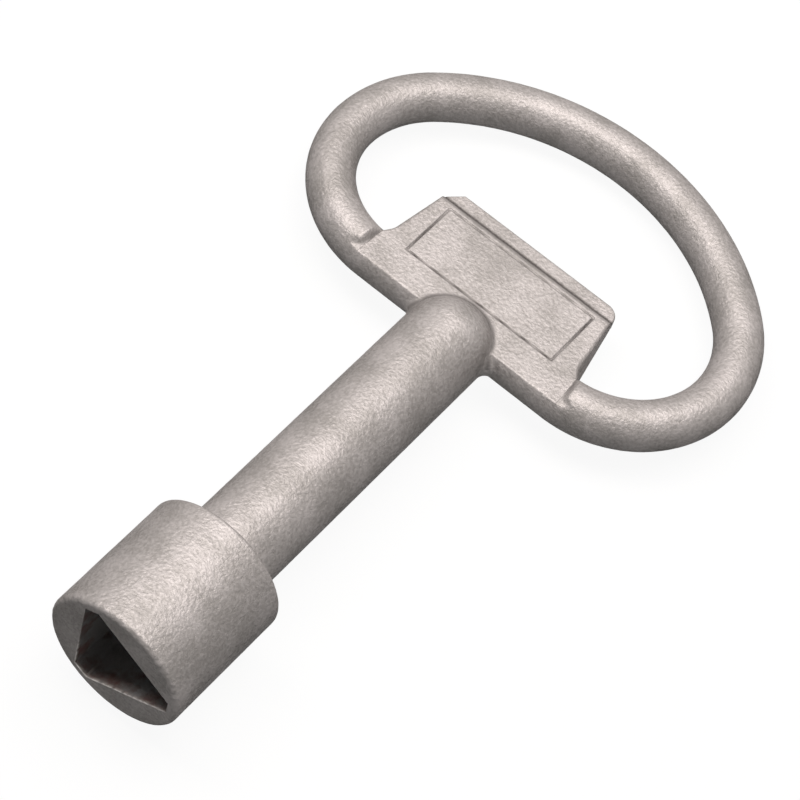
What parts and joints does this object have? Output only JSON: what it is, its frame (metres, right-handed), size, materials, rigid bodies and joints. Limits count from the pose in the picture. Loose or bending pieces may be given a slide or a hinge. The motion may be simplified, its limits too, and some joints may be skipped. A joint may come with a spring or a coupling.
{
  "type": "radiator bleed key",
  "caption": "Cast steel key with a triangular socket on a round shank, and an oval finger ring with a flat plate across its lower bar.",
  "frame": {"origin": "centre of the triangular socket's mouth, on the shank's axis", "axes": "+Y along the shank from the mouth to the ring, +X along the ring's width, +Z out of the plate's engraved face"},
  "size_m": [0.062, 0.1, 0.018],
  "materials": {
    "cast_steel": "satin, shot-blasted casting"
  },
  "bodies": {
    "root": {"socket_head": "cast_steel", "shank": "cast_steel", "web_plate": "cast_steel", "bow": "cast_steel"}
  },
  "joints": []
}
